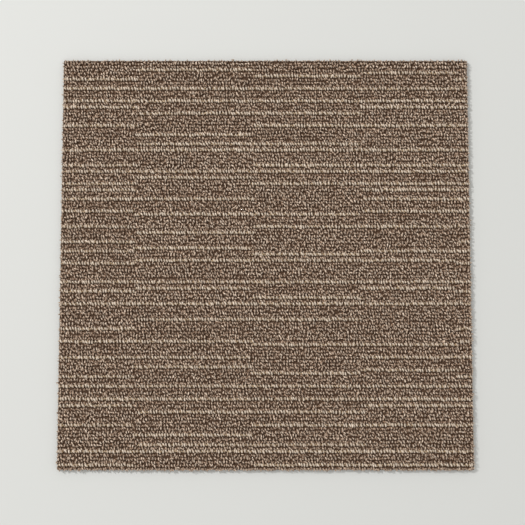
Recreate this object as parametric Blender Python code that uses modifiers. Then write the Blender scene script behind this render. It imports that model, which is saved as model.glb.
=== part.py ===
"""A square tufted carpet tile, lying flat with its pile upwards.

Two pieces are bonded together in the real tile: the loop pile, which is yarn stitched in rows
through a thin carrier cloth, and the heavy moulded backing under it. The rows of loops run
along X. The origin is the centre of the underside, and +Z points up out of the pile.
"""
import math

import bpy

# Driving dimensions, in metres
TILE_SIDE = 0.500            # both sides of the square
BACKING_THICKNESS = 0.0027   # moulded backing slab
BACKING_EDGE_ROUND = 0.0003  # small rounding left by the cutting die
BOND_GAP = 0.0003            # line of adhesive between the backing and the pile's cloth
CLOTH_THICKNESS = 0.0008     # carrier cloth with the backs of the stitches
SHOULDER_HEIGHT = 0.0014     # from the cloth to where neighbouring rows of loops meet
CROWN_RISE = 0.0016          # from there to the crowns of the loops
ROW_GAUGE = 0.00384          # nominal spacing of the rows of loops
ROW_STEPS = 6                # straight facets across one row's crown
ROUND_SEGMENTS = 2           # facets across the backing's rounded edge

# Linear colours and roughness of the two materials
YARN_COLOUR = (0.191, 0.138, 0.098)
YARN_ROUGHNESS = 0.95
BACKING_COLOUR = (0.030, 0.030, 0.031)
BACKING_ROUGHNESS = 0.80


def clear_scene():
    for existing in list(bpy.data.objects):
        bpy.data.objects.remove(existing, do_unlink=True)


def make_collection(name):
    collection = bpy.data.collections.new(name)
    bpy.context.scene.collection.children.link(collection)
    return collection


def make_material(name, colour, roughness):
    material = bpy.data.materials.new(name)
    material.use_nodes = True
    shader = material.node_tree.nodes["Principled BSDF"]
    shader.inputs["Base Color"].default_value = (*colour, 1.0)
    shader.inputs["Roughness"].default_value = roughness
    shader.inputs["Metallic"].default_value = 0.0
    material.diffuse_color = (*colour, 1.0)
    return material


def make_backing(collection, material):
    """The heavy slab that lies on the floor, die-cut to the square."""
    bpy.ops.mesh.primitive_cube_add(size=1.0, location=(0.0, 0.0, BACKING_THICKNESS / 2))
    backing = bpy.context.active_object
    backing.name = "backing"
    backing.data.name = "backing"
    backing.scale = (TILE_SIDE, TILE_SIDE, BACKING_THICKNESS)
    bpy.ops.object.transform_apply(location=False, rotation=False, scale=True)
    rounding = backing.modifiers.new("rounded_edges", "BEVEL")
    rounding.width = BACKING_EDGE_ROUND
    rounding.segments = ROUND_SEGMENTS
    backing.data.materials.append(material)
    for owner in list(backing.users_collection):
        owner.objects.unlink(backing)
    collection.objects.link(backing)
    return backing


def pile_outline():
    """Section across the rows, as (across, up) points: a flat base under a row of crowns."""
    row_count = max(1, round(TILE_SIDE / ROW_GAUGE))
    row_width = TILE_SIDE / row_count
    shoulder = CLOTH_THICKNESS + SHOULDER_HEIGHT
    near_side = -TILE_SIDE / 2
    points = [(near_side, 0.0)]
    for row in range(row_count):
        row_start = near_side + row * row_width
        for step in range(ROW_STEPS):
            angle = math.pi * step / ROW_STEPS
            across = row_start + row_width * (1.0 - math.cos(angle)) / 2
            points.append((across, shoulder + CROWN_RISE * math.sin(angle)))
    points.append((TILE_SIDE / 2, shoulder))
    points.append((TILE_SIDE / 2, 0.0))
    return points


def make_loop_pile(collection, material):
    """The stitched yarn: its section across the rows, drawn out along them."""
    outline = pile_outline()
    curve = bpy.data.curves.new("loop_pile", "CURVE")
    curve.dimensions = "2D"
    curve.fill_mode = "BOTH"
    curve.extrude = TILE_SIDE / 2
    spline = curve.splines.new("POLY")
    spline.points.add(len(outline) - 1)
    for point, (across, up) in zip(spline.points, outline):
        point.co = (across, up, 0.0, 1.0)
    spline.use_cyclic_u = True
    pile = bpy.data.objects.new("loop_pile", curve)
    # the curve's own X, Y and Z become the tile's Y, Z and X
    pile.rotation_euler = (math.pi / 2, 0.0, math.pi / 2)
    pile.location = (0.0, 0.0, BACKING_THICKNESS + BOND_GAP)
    curve.materials.append(material)
    collection.objects.link(pile)
    return pile


def build_tile():
    clear_scene()
    collection = make_collection("carpet_tile")
    backing_material = make_material("moulded_backing", BACKING_COLOUR, BACKING_ROUGHNESS)
    yarn_material = make_material("loop_yarn", YARN_COLOUR, YARN_ROUGHNESS)
    make_backing(collection, backing_material)
    make_loop_pile(collection, yarn_material)


build_tile()
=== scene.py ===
import math

import bmesh
import bpy
import numpy as np
from mathutils import Matrix, Vector


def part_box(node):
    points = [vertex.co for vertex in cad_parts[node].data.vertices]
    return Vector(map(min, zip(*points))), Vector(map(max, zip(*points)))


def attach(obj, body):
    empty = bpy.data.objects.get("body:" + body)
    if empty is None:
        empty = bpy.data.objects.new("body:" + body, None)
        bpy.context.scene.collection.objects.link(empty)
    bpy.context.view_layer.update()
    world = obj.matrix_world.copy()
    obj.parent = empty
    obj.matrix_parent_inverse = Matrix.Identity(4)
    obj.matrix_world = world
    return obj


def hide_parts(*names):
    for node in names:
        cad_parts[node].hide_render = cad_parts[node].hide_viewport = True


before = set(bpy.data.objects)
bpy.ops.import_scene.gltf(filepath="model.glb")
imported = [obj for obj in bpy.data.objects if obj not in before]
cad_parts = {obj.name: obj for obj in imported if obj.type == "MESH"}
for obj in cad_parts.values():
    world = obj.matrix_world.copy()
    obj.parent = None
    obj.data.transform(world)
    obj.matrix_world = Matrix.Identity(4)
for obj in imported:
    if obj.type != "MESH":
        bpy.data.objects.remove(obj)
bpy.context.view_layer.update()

MM = 0.001
SEED = 41

# The pile, from the frame's own solid, in metres
pile_low, pile_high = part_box("loop_pile")
TILE_SIDE = pile_high.x - pile_low.x
CLOTH_BOTTOM = pile_low.z
CLOTH_THICKNESS = 0.8 * MM
CLOTH_TOP = CLOTH_BOTTOM + CLOTH_THICKNESS
LOOP_HEIGHT = pile_high.z - CLOTH_TOP

# The stitching
ROW_COUNT = 130
ROW_PITCH = 3.838 * MM
STITCHES_IN_ROW = 144
END_INSET = 0.8 * MM         # from the tile's edge to where the first and last stitches begin

# One loop of yarn: an arch whose two plies twist round each other
ARCH_HALF_SPAN = 0.80 * MM
SHOULDER = math.radians(28)  # where the arch's lowest ring lies, up from its foot
ARCH_STEPS = 3
SECTION_SIDES = 6
PLY_REACH = 1.60 * MM        # from the yarn's centre line to the outside of a ply
PLY_WIDTH = 1.80 * MM
FURROW_WIDTH = 1.00 * MM     # width of the waist between the two plies
TWIST = math.radians(-190)   # turn of the plies from one foot of the arch to the other
PHASES = (0, 25, 50, 130, 155)  # degrees that the plies have turned at the crown
INNER_REACH = 0.8            # most that a ply reaches inwards, as a share of the half span
FOOT_TAPER = 0.90            # thickness at the foot of the arch, as a share of the crown's
FOOT_DEPTH = 0.45 * MM       # how far the foot's point reaches into the cloth
FOOT_SHADE_RISE = 1.2        # how soon the shade at the foot ends: higher on the arch if less
ARCH_LENGTHENING = 1.6       # the yarn's length over the arch, as a share of its half circle's

# How unevenly the loops lie, and how light or dark they are
STITCH_JITTER = 0.14         # spread of the stitch length, as a share of it
STITCH_LENGTHS = (0.5, 1.6)  # the least and the most, as shares of the usual one
BROWN_SIDE_JITTER = 0.65 * MM
TAN_SIDE_JITTER = 0.22 * MM
TURN = math.radians(-30)     # the plies' twist turns every loop a little off its row
BROWN_TURN_JITTER = math.radians(24)
TAN_TURN_JITTER = math.radians(12)
LEAN_JITTER = 0.18
SIZE_JITTER = 0.09
HEIGHT_JITTER = 0.09
ROW_HEIGHT_JITTER = 0.05     # what a row's loops have in common, within each stretch
BROWN_ROW_TONE_JITTER = 0.08
TAN_ROW_TONE_JITTER = 0.12
TAN_SIZE = 1.20              # the tan yarn is bulkier than the brown, by this much
BROWN_HEIGHT = 0.92          # usual height of the brown loops, as a share of the tan ones'
BESIDE_HEIGHT = 0.70         # the same where a tan row crowds them
LOOP_HEIGHTS = (0.45, 1.06)  # the least and the most, as shares of the usual tan loop's
BESIDE_SHADE = 0.20          # painted shade: how much darker the crowded ones are drawn, for the tan row's shade on them
PLY_TONES = (0.58, 0.42)     # the heathered yarn twists a light ply round a dark one
TONE_JITTER = 0.12
PATTERN_SPAN = 60.0          # each piece of yarn shows its own place within so many millimetres

# How the rows run
TAN_ROW_SHIFT = 0.6 * MM     # how far the loops fall towards the near edge from their stitches
BROWN_ROW_SHIFT = 1.3 * MM
ROW_WAVE = 0.20 * MM         # slow sideways wander of the rows
LONG_WAVE = (48, 30)         # its turns, in radians per metre along and across the rows
SHORT_WAVE = (131, -23)
SHORT_WAVE_SHARE = 0.6       # the short wave's height, as a share of the long one's
CROWDING = 1.8 * MM          # how far the rows are shifted where they crowd towards one place
CROWDED_AT = 25 * MM         # that place, along Y
CROWDING_LENGTH = 100 * MM
STITCH_DIP = 0.25 * MM       # how far a row of stitches pulls the cloth down

# The cut ends of yarn along the tile's sides
CUT_ENDS_PER_STITCH = 3
CUT_END_SIDES = 4
CUT_END_FOOT_WIDTH = 0.9 * MM
CUT_END_TIP_WIDTH = 1.3 * MM
CUT_END_HEIGHT = 2.6 * MM
CUT_END_HEIGHT_JITTER = 0.5 * MM
CUT_END_HEIGHTS = (1.4 * MM, 3.5 * MM)  # the least and the most
CUT_END_ROOT = 0.4 * MM      # how deep the foot lies in the cloth
CUT_END_INSETS = (0.5 * MM, 1.6 * MM)  # from the tile's side to the foot
CUT_END_LEAN = 0.2           # usual lean outwards, as a share of the height
CUT_END_LEAN_JITTER = 0.22

# Where the needle bar shifted, measured from the left edge, and the rows that carry tan yarn in
# each stretch between two shifts, counted from the far edge. The last stretch repeats the first.
# The shifts were read from the photo. The rows come from a program: it listed the peaks of the
# photo's brightness across the rows, and the clear ones were rounded to whole rows.
SHIFTS = (92 * MM, 235 * MM, 367 * MM, 483 * MM)
SHIFT_JITTER = 1.5 * MM      # how far the shift is out of line from row to row
TAN_ROWS = (
    (5, 8, 12, 14, 20, 28, 33, 35, 39, 41, 44, 48, 53, 58, 61,
     65, 71, 74, 78, 86, 90, 95, 101, 104, 108, 110, 116, 124, 128),
    (2, 8, 12, 16, 23, 26, 28, 35, 37, 44, 49, 55, 60, 64,
     71, 73, 78, 83, 90, 95, 98, 104, 108, 112, 119, 122, 124),
    (4, 8, 12, 16, 20, 26, 28, 33, 35, 39, 49, 53, 62, 64,
     71, 76, 78, 83, 91, 100, 104, 108, 112, 116, 122, 124, 128),
    (3, 8, 12, 14, 20, 28, 33, 35, 39, 41, 44, 48, 53, 61,
     64, 71, 73, 78, 91, 95, 99, 104, 108, 110, 116, 124, 128),
)

# A piece holds the loops of this many neighbouring rows
BROWN_ROWS_IN_PIECE = 26
TAN_ROWS_IN_PIECE = 65

# Patterns of the materials. Real filaments are a few hundredths of a millimetre thick, too fine
# to show, so the yarn's and the cloth's patterns are drawn coarser, one to two millimetres long.
HEATHER_PATCHES_PER_MM = 0.8
HEATHER_DRIFT = 0.45         # most that the tone of a ply drifts from patch to patch
STREAKS_PER_MM = (0.6, 0.9, 1.0)  # along the yarn and round it
WEB_PATCHES_PER_METRE = 900.0
PEBBLES_PER_METRE = 700.0    # the backing's grain: pebbles of about 1.4 mm
CLOUDS_PER_METRE = 35.0      # the backing's mottling: patches of about 30 mm

# Camera, light and floor
CAMERA_PLACE = (-0.0036, -0.0703, 1.0)
CAMERA_TILT = math.radians(3.99)
CAMERA_LENS_MM = 56.11
CAMERA_SENSOR_MM = 36.0
LAMP_PLACE = (-2.62, 1.69, 2.90)
LAMP_SIDE = 0.25
LAMP_WATTS = 90.0
SKY_STRENGTH = 0.65
FLOOR_SIDE = 6.0


def linear(hex_colour):
    """An sRGB hex colour as linear red, green, blue and full alpha."""
    channels = [int(hex_colour[i:i + 2], 16) / 255 for i in (1, 3, 5)]
    curved = [c / 12.92 if c <= 0.04045 else ((c + 0.055) / 1.055) ** 2.4 for c in channels]
    return (*curved, 1.0)


def add_node(tree, kind, settings=None, inputs=None):
    """Adds a node. An input is a plain value, or another node's output to link from."""
    node = tree.nodes.new(kind)
    for name, value in (settings or {}).items():
        setattr(node, name, value)
    for name, value in (inputs or {}).items():
        if isinstance(value, bpy.types.NodeSocket):
            tree.links.new(value, node.inputs[name])
        else:
            node.inputs[name].default_value = value
    return node


def new_material(name):
    """An empty material with its Principled shader already joined to the output."""
    material = bpy.data.materials.new(name)
    material.use_nodes = True
    tree = material.node_tree
    tree.nodes.clear()
    shader = add_node(tree, "ShaderNodeBsdfPrincipled")
    add_node(tree, "ShaderNodeOutputMaterial", inputs={"Surface": shader.outputs["BSDF"]})
    return material, tree, shader


def set_ramp(node, stops):
    """Gives a colour ramp its (position, hex colour) stops."""
    ramp = node.color_ramp
    while len(ramp.elements) < len(stops):
        ramp.elements.new(0.5)
    for element, (position, colour) in zip(ramp.elements, stops):
        element.position = position
        element.color = linear(colour)


def heathered_colour(tree, yarn_map, stops):
    """Each ply's colour: the yarn's stops at the ply's own tone, which drifts from patch to patch."""
    tone = add_node(tree, "ShaderNodeAttribute", {"attribute_name": "tone"})
    blend = add_node(
        tree, "ShaderNodeTexNoise", {"noise_dimensions": "2D"},
        {"Vector": yarn_map.outputs["UV"], "Scale": HEATHER_PATCHES_PER_MM, "Detail": 0.0},
    )
    blend_shift = add_node(
        tree, "ShaderNodeMapRange",
        inputs={"Value": blend.outputs["Fac"], "From Min": 0.25, "From Max": 0.75,
                "To Min": -HEATHER_DRIFT, "To Max": HEATHER_DRIFT},
    )
    blended_tone = add_node(
        tree, "ShaderNodeMath", {"operation": "ADD"},
        {0: tone.outputs["Fac"], 1: blend_shift.outputs["Result"]},
    )
    heather = add_node(tree, "ShaderNodeValToRGB", inputs={"Fac": blended_tone.outputs["Value"]})
    set_ramp(heather, stops)
    return heather.outputs["Color"]


def fibre_streaks(tree, yarn_map):
    """The streaks that the yarn's filaments draw along it."""
    along_fibres = add_node(
        tree, "ShaderNodeVectorMath", {"operation": "MULTIPLY"},
        {0: yarn_map.outputs["UV"], 1: STREAKS_PER_MM},
    )
    fibres = add_node(
        tree, "ShaderNodeTexNoise", {"noise_dimensions": "2D"},
        {"Vector": along_fibres.outputs["Vector"], "Scale": 1.0, "Detail": 1.0, "Roughness": 0.6},
    )
    return fibres.outputs["Fac"]


def bulked_nylon(name, stops, painted_shade_colour, streak_contrast):
    """Bulked nylon carpet yarn, textured as it was spun: its crimped filaments scatter the light.

    That makes it matt with hardly a gleam. It is heathered ply by ply, streaked along its
    filaments, and has painted shade, a darker colour, between the plies and at the loops' feet.
    """
    material, tree, shader = new_material(name)
    # painted shade: how far each vertex is drawn darker, towards the shade colour
    painted_shade = add_node(tree, "ShaderNodeAttribute", {"attribute_name": "painted_shade"})
    yarn_map = add_node(tree, "ShaderNodeUVMap", {"uv_map": "yarn"})
    heather = heathered_colour(tree, yarn_map, stops)
    fibres = fibre_streaks(tree, yarn_map)
    shade = add_node(tree, "ShaderNodeValToRGB", inputs={"Fac": painted_shade.outputs["Fac"]})
    set_ramp(shade, ((0.0, "#ffffff"), (1.0, painted_shade_colour)))
    streak = add_node(
        tree, "ShaderNodeMapRange",
        inputs={"Value": fibres, "From Min": 0.35, "From Max": 0.65,
                "To Min": 1.0 - streak_contrast, "To Max": 1.0 + streak_contrast},
    )
    shaded = add_node(
        tree, "ShaderNodeVectorMath", {"operation": "MULTIPLY"},
        {0: heather, 1: shade.outputs["Color"]},
    )
    colour = add_node(
        tree, "ShaderNodeVectorMath", {"operation": "SCALE"},
        {0: shaded.outputs["Vector"], "Scale": streak.outputs["Result"]},
    )
    bump = add_node(
        tree, "ShaderNodeBump",
        inputs={"Height": fibres, "Strength": 0.6, "Distance": 0.15 * MM},
    )
    tree.links.new(colour.outputs["Vector"], shader.inputs["Base Color"])
    tree.links.new(bump.outputs["Normal"], shader.inputs["Normal"])
    shader.inputs["Roughness"].default_value = 0.9
    shader.inputs["IOR"].default_value = 1.53
    shader.inputs["Specular IOR Level"].default_value = 0.1
    shader.inputs["Sheen Weight"].default_value = 0.04
    shader.inputs["Sheen Roughness"].default_value = 0.6
    return material


def spunbonded_cloth():
    """The carrier cloth: bonded polyester filaments, seen only as dark gaps between loops. Its dark
    brown is partly painted shade, for the shade that falls in those gaps.
    """
    material, tree, shader = new_material("spunbonded_polyester_cloth")
    place = add_node(tree, "ShaderNodeTexCoord")
    web = add_node(
        tree, "ShaderNodeTexNoise",
        inputs={"Vector": place.outputs["Object"], "Scale": WEB_PATCHES_PER_METRE, "Detail": 3.0},
    )
    colour = add_node(tree, "ShaderNodeValToRGB", inputs={"Fac": web.outputs["Fac"]})
    # partly painted shade: the cloth's dark brown stands for the shade in the gaps between loops
    set_ramp(colour, ((0.3, "#442f20"), (0.7, "#604631")))
    tree.links.new(colour.outputs["Color"], shader.inputs["Base Color"])
    shader.inputs["Roughness"].default_value = 0.95
    return material


def moulded_backing():
    """Filled backing compound: dull charcoal, with the fine pebble grain of its casting belt."""
    material, tree, shader = new_material("filled_backing_compound")
    place = add_node(tree, "ShaderNodeTexCoord")
    pebble = add_node(
        tree, "ShaderNodeTexVoronoi",
        inputs={"Vector": place.outputs["Object"], "Scale": PEBBLES_PER_METRE},
    )
    cloud = add_node(
        tree, "ShaderNodeTexNoise",
        inputs={"Vector": place.outputs["Object"], "Scale": CLOUDS_PER_METRE, "Detail": 4.0},
    )
    colour = add_node(tree, "ShaderNodeValToRGB", inputs={"Fac": cloud.outputs["Fac"]})
    set_ramp(colour, ((0.3, "#2b2b2c"), (0.7, "#3b3b3b")))
    bump = add_node(
        tree, "ShaderNodeBump",
        inputs={"Height": pebble.outputs["Distance"], "Strength": 0.5, "Distance": 0.2 * MM},
    )
    tree.links.new(colour.outputs["Color"], shader.inputs["Base Color"])
    tree.links.new(bump.outputs["Normal"], shader.inputs["Normal"])
    shader.inputs["Roughness"].default_value = 0.75
    return material


def new_piece(name, mesh, material):
    """Puts a finished mesh in the scene as a piece of the pile."""
    mesh.materials.append(material)
    piece = bpy.data.objects.new(name, mesh)
    bpy.context.scene.collection.objects.link(piece)
    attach(piece, "root")
    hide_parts("loop_pile")


def spin_arch():
    """The arch that every loop starts from: a six-sided section spun from shoulder to shoulder."""
    bm = bmesh.new()
    foot = Matrix.Rotation(SHOULDER, 4, "Y") @ Matrix.Translation((-ARCH_HALF_SPAN, 0.0, 0.0))
    section = bmesh.ops.create_circle(
        bm, segments=SECTION_SIDES, radius=ARCH_HALF_SPAN / 2, matrix=foot
    )
    ring = section["verts"] + list({edge for vert in section["verts"] for edge in vert.link_edges})
    bmesh.ops.spin(
        bm, geom=ring, cent=(0, 0, 0), axis=(0, 1, 0), dvec=(0, 0, 0),
        angle=math.pi - 2 * SHOULDER, steps=ARCH_STEPS, use_merge=False, use_duplicate=False,
    )
    ends = bmesh.ops.holes_fill(bm, edges=[edge for edge in bm.edges if edge.is_boundary])
    ring_verts = set(bm.verts)
    bmesh.ops.poke(bm, faces=ends["faces"])
    bmesh.ops.recalc_face_normals(bm, faces=bm.faces[:])
    bm.verts.index_update()
    feet = {vert.index for vert in bm.verts if vert not in ring_verts}
    return bm, feet


def shape_loop(bm, feet, phase):
    """Places of the arch's vertices once it is pinched into two plies, twisted and tapered.

    Also gives each vertex's side, +1 or -1 for the two plies and 0 in the furrow between them,
    how much painted shade it takes, from 0 to 1, and its place on the yarn, as the distance
    along it and the turn round it.
    """
    places, sides, painted_shades, on_yarn = [], [], [], []
    stretch = LOOP_HEIGHT / (ARCH_HALF_SPAN + PLY_REACH)
    for vert in bm.verts:
        along = math.atan2(vert.co.z, -vert.co.x)
        outward = math.hypot(vert.co.x, vert.co.z) - ARCH_HALF_SPAN
        if vert.index in feet:
            places.append((math.copysign(ARCH_HALF_SPAN, vert.co.x), 0.0, -FOOT_DEPTH))
            sides.append(0.0)
            painted_shades.append(1.0)
            on_yarn.append((0.0 if vert.co.x < 0.0 else math.pi, 0.0))
            continue
        around = math.atan2(vert.co.y, outward)
        # Of the section's six corners, the two that lie square to the plies make the furrow
        in_furrow = abs(math.cos(around)) < 0.3
        taper = FOOT_TAPER + (1.0 - FOOT_TAPER) * math.sin(along)
        reach = 0.0 if in_furrow else math.copysign(taper * PLY_REACH, math.cos(around))
        half_width = taper * (FURROW_WIDTH if in_furrow else PLY_WIDTH) / 2
        sideways = math.copysign(half_width, math.sin(around))
        turned = phase + TWIST * (along / math.pi - 0.5)
        rise = reach * math.cos(turned) - sideways * math.sin(turned)
        radius = ARCH_HALF_SPAN + max(rise, -INNER_REACH * ARCH_HALF_SPAN)
        places.append((
            -radius * math.cos(along),
            reach * math.sin(turned) + sideways * math.cos(turned),
            radius * math.sin(along) * stretch,
        ))
        sides.append(0.0 if in_furrow else math.copysign(1.0, math.cos(around)))
        # painted shade: full in the furrow and at the feet, fading out up the arch, for the shade
        # between loops
        foot_shade = max(0.0, 1.0 - FOOT_SHADE_RISE * math.sin(along))
        painted_shades.append(1.0 if in_furrow else foot_shade)
        on_yarn.append((along, around))
    return np.array(places), np.array(sides), np.array(painted_shades), np.array(on_yarn)


def corner_turns(bm, on_yarn):
    """Yarn map of every face corner, in millimetres, with no jump where the turn closes."""
    along_scale = ARCH_HALF_SPAN / MM * ARCH_LENGTHENING
    around_scale = PLY_REACH / MM
    corners = []
    for face in bm.faces:
        turns = [on_yarn[vert.index][1] for vert in face.verts]
        wraps = max(turns) - min(turns) > math.pi
        for vert, turn in zip(face.verts, turns):
            if wraps and turn < 0.0:
                turn += 2 * math.pi
            corners.append((on_yarn[vert.index][0] * along_scale, turn * around_scale))
    return np.array(corners)


class YarnShape:
    """What all copies of one piece of yarn share: their faces and their shading values."""

    def __init__(self, bm, sides, painted_shades, on_yarn):
        self.vert_count = len(bm.verts)
        self.face_sizes = np.array([len(face.verts) for face in bm.faces])
        self.corners = np.array([vert.index for face in bm.faces for vert in face.verts])
        self.sides = sides
        self.painted_shades = painted_shades
        self.yarn_corners = corner_turns(bm, on_yarn)


def copies_mesh(name, shape, placed, tones, yarn_offsets):
    """One mesh of many copies of a shape, with their tone, painted shade and yarn map.

    For each copy, placed holds its vertices, tones the tone of its two plies, and yarn_offsets
    which piece of the yarn's pattern it shows. For loops beside a tan row, tones holds painted shade
    too.
    """
    count = len(placed)
    face_starts = np.concatenate(([0], np.cumsum(shape.face_sizes)[:-1]))
    all_corners = shape.corners[None, :] + shape.vert_count * np.arange(count)[:, None]
    all_starts = face_starts[None, :] + len(shape.corners) * np.arange(count)[:, None]
    mesh = bpy.data.meshes.new(name)
    mesh.vertices.add(count * shape.vert_count)
    mesh.loops.add(all_corners.size)
    mesh.polygons.add(all_starts.size)
    mesh.vertices.foreach_set("co", placed.astype(np.float32).ravel())
    mesh.loops.foreach_set("vertex_index", all_corners.ravel().astype(np.int32))
    mesh.polygons.foreach_set("loop_start", all_starts.ravel().astype(np.int32))
    mesh.update(calc_edges=True)
    mesh.shade_smooth()
    share = (shape.sides[None, :] + 1.0) / 2
    tone = tones[:, :1] * share + tones[:, 1:] * (1.0 - share)
    # painted shade of each vertex, the same for every copy
    painted_shade = np.broadcast_to(shape.painted_shades[None, :], tone.shape)
    for label, values in (("tone", tone), ("painted_shade", painted_shade)):
        attribute = mesh.attributes.new(label, "FLOAT", "POINT")
        attribute.data.foreach_set("value", values.astype(np.float32).ravel())
    yarn_map = mesh.uv_layers.new(name="yarn")
    laid = shape.yarn_corners[None, :, :] + yarn_offsets[:, None, :]
    yarn_map.data.foreach_set("uv", laid.astype(np.float32).ravel())
    return mesh


def row_line(up):
    """Where a row that would lie evenly at this Y really lies: rows crowd towards one place."""
    fade_at_edges = 1.0 - (2 * up / TILE_SIDE) ** 16
    return up - CROWDING * np.sin((up - CROWDED_AT) / CROWDING_LENGTH) * fade_at_edges


def chart_rows():
    """For each stretch and row, if the row is tan, and if it is brown with a tan one beside it."""
    tan_chart = np.zeros((len(SHIFTS) + 1, ROW_COUNT), bool)
    for number in range(len(tan_chart)):
        tan_chart[number, list(TAN_ROWS[number % len(TAN_ROWS)])] = True
    beside_chart = np.zeros_like(tan_chart)
    beside_chart[:, 1:] |= tan_chart[:, :-1]
    beside_chart[:, :-1] |= tan_chart[:, 1:]
    return tan_chart, beside_chart & ~tan_chart


def row_wave(across, up):
    """How far the rows wander at a place, from -1 to 1: a long wave with a short one on it."""
    long_wave = np.sin(across * LONG_WAVE[0] + up * LONG_WAVE[1])
    short_wave = np.sin(across * SHORT_WAVE[0] + up * SHORT_WAVE[1])
    return (long_wave + SHORT_WAVE_SHARE * short_wave) / (1.0 + SHORT_WAVE_SHARE)


def lay_stitches(rng):
    """Each stitch's row and place, if it is tan, if it lies beside a tan row, and its row's level.

    The level, a plain normal number, is what the row's loops have in common within one stretch.
    """
    rows = np.repeat(np.arange(ROW_COUNT)[:, None], STITCHES_IN_ROW, axis=1)
    lengths = np.clip(rng.normal(1.0, STITCH_JITTER, rows.shape), *STITCH_LENGTHS)
    ends = np.cumsum(lengths, axis=1)
    across = END_INSET + (ends - lengths / 2) / ends[:, -1:] * (TILE_SIDE - 2 * END_INSET)
    far_row = (ROW_COUNT - 1) * ROW_PITCH / 2
    up = far_row - rows * ROW_PITCH
    up = row_line(up) + ROW_WAVE * row_wave(across, up)
    border = across + rng.normal(0.0, SHIFT_JITTER, (ROW_COUNT, 1))
    stretch = np.searchsorted(SHIFTS, border)
    tan_chart, beside_chart = chart_rows()
    is_tan = tan_chart[stretch, rows]
    is_beside = beside_chart[stretch, rows]
    levels = rng.normal(0.0, 1.0, tan_chart.shape)[stretch, rows]
    up = up - np.where(is_tan, TAN_ROW_SHIFT, BROWN_ROW_SHIFT)
    up = up + rng.normal(0.0, np.where(is_tan, TAN_SIDE_JITTER, BROWN_SIDE_JITTER))
    across = across - TILE_SIDE / 2
    return [grid.ravel() for grid in (rows, across, up, is_tan, is_beside, levels)]


def heather_tones(rng, count):
    """Tone of both plies at every stitch, from 0 for the darkest to 1 for the lightest."""
    return np.clip(rng.normal(PLY_TONES, TONE_JITTER, (count, 2)), 0.0, 1.0)


class LoopField:
    """All the stitches of the tile, and the templates that their loops are copied from."""

    def __init__(self, rng):
        arch, feet = spin_arch()
        shaped = [shape_loop(arch, feet, math.radians(phase)) for phase in PHASES]
        self.templates = np.array([places for places, sides, painted_shades, on_yarn in shaped])
        self.shape = YarnShape(arch, *shaped[0][1:])
        arch.free()
        self.rows, self.across, self.up, self.is_tan, is_beside, levels = lay_stitches(rng)
        count = len(self.rows)
        row_tones_and_shade = levels * np.where(self.is_tan, TAN_ROW_TONE_JITTER, BROWN_ROW_TONE_JITTER)
        # painted shade: brown loops beside a tan row are drawn darker, for the taller tan row's shade
        row_tones_and_shade -= np.where(is_beside, BESIDE_SHADE, 0.0)
        self.tones = heather_tones(rng, count) + row_tones_and_shade[:, None]
        self.template_numbers = rng.integers(0, len(PHASES), count)
        self.turns = rng.normal(TURN, np.where(self.is_tan, TAN_TURN_JITTER, BROWN_TURN_JITTER))
        self.leans = rng.normal(0.0, LEAN_JITTER, (count, 2))
        self.sizes = rng.normal(np.where(self.is_tan, TAN_SIZE, 1.0), SIZE_JITTER)
        usual_heights = np.where(self.is_tan, 1.0, BROWN_HEIGHT)
        usual_heights[is_beside] = BESIDE_HEIGHT
        usual_heights += ROW_HEIGHT_JITTER * levels
        self.heights = np.clip(rng.normal(usual_heights, HEIGHT_JITTER), *LOOP_HEIGHTS)
        self.yarn_offsets = rng.uniform(0.0, PATTERN_SPAN, (count, 2))

    def joined_loops(self, name, chosen):
        """One mesh holding the chosen stitches' loops."""
        loops = self.templates[self.template_numbers[chosen]] * self.sizes[chosen, None, None]
        loops[:, :, 2] *= (self.heights[chosen] / self.sizes[chosen])[:, None]
        x, y, z = loops[:, :, 0], loops[:, :, 1], loops[:, :, 2]
        cos_turn = np.cos(self.turns[chosen])[:, None]
        sin_turn = np.sin(self.turns[chosen])[:, None]
        lean = self.leans[chosen]
        placed = np.stack([
            x * cos_turn - y * sin_turn + lean[:, :1] * z + self.across[chosen][:, None],
            x * sin_turn + y * cos_turn + lean[:, 1:] * z + self.up[chosen][:, None],
            z + CLOTH_TOP,
        ], axis=2)
        offsets = self.yarn_offsets[chosen]
        return copies_mesh(name, self.shape, placed, self.tones[chosen], offsets)

    def border_stitches(self):
        """For the right, far, left and near side: where its stitches lie along it, and if tan."""
        grid = (ROW_COUNT, STITCHES_IN_ROW)
        across = self.across.reshape(grid)
        up = self.up.reshape(grid)
        is_tan = self.is_tan.reshape(grid)
        return (
            (up[:, -1], is_tan[:, -1]),
            (-across[0], is_tan[0]),
            (-up[:, 0], is_tan[:, 0]),
            (across[-1], is_tan[-1]),
        )


def shape_cut_end():
    """A short cut strand of one unit's height, that flares where its fibres come apart."""
    bm = bmesh.new()
    bmesh.ops.create_cone(
        bm, cap_ends=True, segments=CUT_END_SIDES, depth=1.0,
        radius1=CUT_END_FOOT_WIDTH / 2, radius2=CUT_END_TIP_WIDTH / 2,
        matrix=Matrix.Translation((0.0, 0.0, 0.5)),
    )
    bm.verts.index_update()
    places = np.array([tuple(vert.co) for vert in bm.verts])
    sides = np.sign(places[:, 0] + places[:, 1] / 2)
    # painted shade: the strand is drawn darker towards its foot
    painted_shades = 1.0 - places[:, 2]
    around = np.arctan2(places[:, 1], places[:, 0])
    shape = YarnShape(bm, sides, painted_shades, np.stack([places[:, 2], around], axis=1))
    bm.free()
    return places, shape


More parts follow.
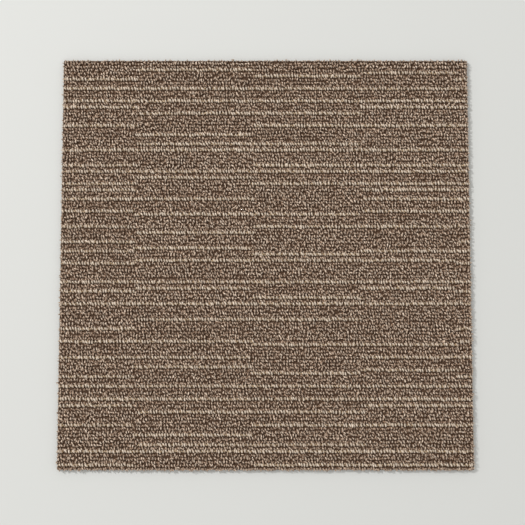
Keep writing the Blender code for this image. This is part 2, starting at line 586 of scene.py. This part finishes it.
def lay_cut_ends(field, rng):
    """Foot, lean and colour of the cut ends that stand along the four cut sides."""
    feet, leans, is_tan = [], [], []
    for quarter, (along, tan) in enumerate(field.border_stitches()):
        along = np.repeat(along, CUT_ENDS_PER_STITCH)
        along = along + rng.normal(0.0, ROW_PITCH / 3, len(along))
        along = np.clip(along, -TILE_SIDE / 2 + MM, TILE_SIDE / 2 - MM)
        outward = TILE_SIDE / 2 - rng.uniform(*CUT_END_INSETS, len(along))
        lean = rng.normal((CUT_END_LEAN, 0.0), CUT_END_LEAN_JITTER, (len(along), 2))
        cos_side = math.cos(quarter * math.pi / 2)
        sin_side = math.sin(quarter * math.pi / 2)
        turn = np.array(((cos_side, sin_side), (-sin_side, cos_side)))
        feet.append(np.stack([outward, along], axis=1) @ turn)
        leans.append(lean @ turn)
        is_tan.append(np.repeat(tan, CUT_ENDS_PER_STITCH))
    return np.concatenate(feet), np.concatenate(leans), np.concatenate(is_tan)


def make_cut_ends(field, rng, brown, tan):
    """The cut strands that the die leaves along the tile's edges, in both colours of yarn."""
    template, shape = shape_cut_end()
    feet, leans, is_tan = lay_cut_ends(field, rng)
    heights = rng.normal(CUT_END_HEIGHT, CUT_END_HEIGHT_JITTER, len(feet))
    heights = np.clip(heights, *CUT_END_HEIGHTS)
    placed = np.repeat(template[None, :, :], len(feet), axis=0)
    placed[:, :, 2] *= heights[:, None]
    placed[:, :, :2] += feet[:, None, :] + leans[:, None, :] * placed[:, :, 2:]
    placed[:, :, 2] += CLOTH_TOP - CUT_END_ROOT
    tones = heather_tones(rng, len(feet))
    offsets = rng.uniform(0.0, PATTERN_SPAN, (len(feet), 2))
    for name, material, wanted in (
        ("brown_cut_ends", brown, ~is_tan),
        ("tan_cut_ends", tan, is_tan),
    ):
        mesh = copies_mesh(name, shape, placed[wanted], tones[wanted], offsets[wanted])
        new_piece(name, mesh, material)


def make_pile():
    """All the loops and cut ends, as a few joined pieces in each colour."""
    rng = np.random.default_rng(SEED)
    field = LoopField(rng)
    # The colour after each yarn's stops is its painted shade colour, for the furrows and the loops'
    # feet
    brown = bulked_nylon("heathered_brown_nylon_yarn", (
        (0.0, "#9b826f"), (0.35, "#baa38f"), (0.65, "#ccb8a4"), (1.0, "#dac7b5"),
    ), "#94775b", 0.5)
    tan = bulked_nylon("tan_nylon_yarn", (
        (0.0, "#c5b2a1"), (0.5, "#d8c8b5"), (1.0, "#e5d5c4"),
    ), "#ae986f", 0.25)
    for label, material, wanted, depth in (
        ("brown_loops", brown, ~field.is_tan, BROWN_ROWS_IN_PIECE),
        ("tan_loops", tan, field.is_tan, TAN_ROWS_IN_PIECE),
    ):
        for number, first in enumerate(range(0, ROW_COUNT, depth), start=1):
            in_rows = (field.rows >= first) & (field.rows < first + depth)
            chosen = np.flatnonzero(wanted & in_rows)
            name = f"{label}_{number}"
            new_piece(name, field.joined_loops(name, chosen), material)
    make_cut_ends(field, rng, brown, tan)


def make_cloth():
    """The carrier cloth, pulled down a little along each row of stitches."""
    bm = bmesh.new()
    half_rows = 2 * ROW_COUNT
    bmesh.ops.create_grid(bm, x_segments=1, y_segments=half_rows, size=TILE_SIDE / 2)
    bmesh.ops.translate(bm, vec=(0.0, 0.0, CLOTH_TOP), verts=bm.verts)
    for vert in bm.verts:
        half_row = round((vert.co.y / TILE_SIDE + 0.5) * half_rows)
        if half_row % 2 == 1:
            vert.co.y = row_line((half_row - ROW_COUNT) * ROW_PITCH / 2)
            vert.co.z -= STITCH_DIP
    sheet = bmesh.ops.extrude_face_region(bm, geom=bm.faces[:])
    for element in sheet["geom"]:
        if isinstance(element, bmesh.types.BMVert):
            element.co.z = CLOTH_BOTTOM
    bmesh.ops.recalc_face_normals(bm, faces=bm.faces[:])
    mesh = bpy.data.meshes.new("carrier_cloth")
    bm.to_mesh(mesh)
    bm.free()
    new_piece("carrier_cloth", mesh, spunbonded_cloth())


def dress_backing():
    """Gives the frame's own backing its finish."""
    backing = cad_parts["backing"]
    backing.data.materials.clear()
    backing.data.materials.append(moulded_backing())


def make_floor():
    """A plain pale sheet under the tile."""
    bm = bmesh.new()
    bmesh.ops.create_grid(bm, x_segments=1, y_segments=1, size=FLOOR_SIDE / 2)
    mesh = bpy.data.meshes.new("floor")
    bm.to_mesh(mesh)
    bm.free()
    material, tree, shader = new_material("matt_white_sheet")
    shader.inputs["Base Color"].default_value = linear("#dfe0dd")
    shader.inputs["Roughness"].default_value = 0.9
    mesh.materials.append(material)
    floor = bpy.data.objects.new("floor", mesh)
    bpy.context.scene.collection.objects.link(floor)


def make_light():
    """A square studio lamp at the upper left, and an even pale surround that softens it."""
    scene = bpy.context.scene
    scene.view_settings.view_transform = "Standard"
    world = bpy.data.worlds.new("studio")
    world.use_nodes = True
    surround = world.node_tree.nodes["Background"]
    surround.inputs["Color"].default_value = linear("#fdfcfa")
    surround.inputs["Strength"].default_value = SKY_STRENGTH
    scene.world = world
    lamp_data = bpy.data.lights.new("soft_lamp", "AREA")
    lamp_data.shape = "SQUARE"
    lamp_data.size = LAMP_SIDE
    lamp_data.energy = LAMP_WATTS
    lamp = bpy.data.objects.new("soft_lamp", lamp_data)
    lamp.location = LAMP_PLACE
    lamp.rotation_euler = (-Vector(LAMP_PLACE)).to_track_quat("-Z", "Y").to_euler()
    scene.collection.objects.link(lamp)


def make_camera():
    """Almost straight above the tile, a hand's breadth towards the near edge."""
    camera_data = bpy.data.cameras.new("camera")
    camera_data.lens = CAMERA_LENS_MM
    camera_data.sensor_width = CAMERA_SENSOR_MM
    camera = bpy.data.objects.new("camera", camera_data)
    camera.location = CAMERA_PLACE
    camera.rotation_euler = (CAMERA_TILT, 0.0, 0.0)
    bpy.context.scene.collection.objects.link(camera)
    bpy.context.scene.camera = camera


make_camera()
make_light()
make_floor()
make_cloth()
make_pile()
dress_backing()
